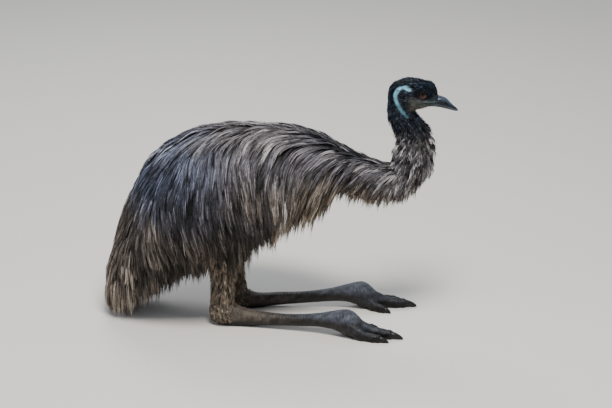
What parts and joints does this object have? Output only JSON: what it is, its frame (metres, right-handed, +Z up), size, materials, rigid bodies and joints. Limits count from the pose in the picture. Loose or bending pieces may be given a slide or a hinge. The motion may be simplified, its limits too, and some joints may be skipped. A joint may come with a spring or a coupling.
{
  "type": "emu",
  "caption": "Life-size emu sitting back on its hocks, shaggy body sloping to the tail, neck raised in an S and bill pointing forward.",
  "frame": {"origin": "on the floor under the middle of the bird's overall box", "axes": "+X towards the bill, +Y the bird's left, +Z up"},
  "size_m": [0.9675, 0.3826, 0.7047],
  "materials": {
    "plumage": "shaggy",
    "head_down": "bristly",
    "bill_horn": "satin",
    "leg_scales": "scaled",
    "claw_horn": "satin",
    "eye_gloss": "wet gloss",
    "bare_skin": "matte"
  },
  "bodies": {
    "root": {"tail": "plumage", "trunk": "plumage", "neck_lower": "plumage", "neck_bend": "plumage", "neck_upper": "head_down", "head": "head_down", "bill_upper": "bill_horn", "bill_lower": "bill_horn", "wing_left": "plumage", "ear_left": "bare_skin", "eye_left": "eye_gloss", "shank_left": "plumage", "tarsus_left": "leg_scales", "toe_inner_left": "leg_scales", "claw_inner_left": "claw_horn", "toe_middle_left": "leg_scales", "claw_middle_left": "claw_horn", "toe_outer_left": "leg_scales", "claw_outer_left": "claw_horn", "wing_right": "plumage", "ear_right": "bare_skin", "eye_right": "eye_gloss", "shank_right": "plumage", "tarsus_right": "leg_scales", "toe_inner_right": "leg_scales", "claw_inner_right": "claw_horn", "toe_middle_right": "leg_scales", "claw_middle_right": "claw_horn", "toe_outer_right": "leg_scales", "claw_outer_right": "claw_horn"}
  },
  "joints": []
}
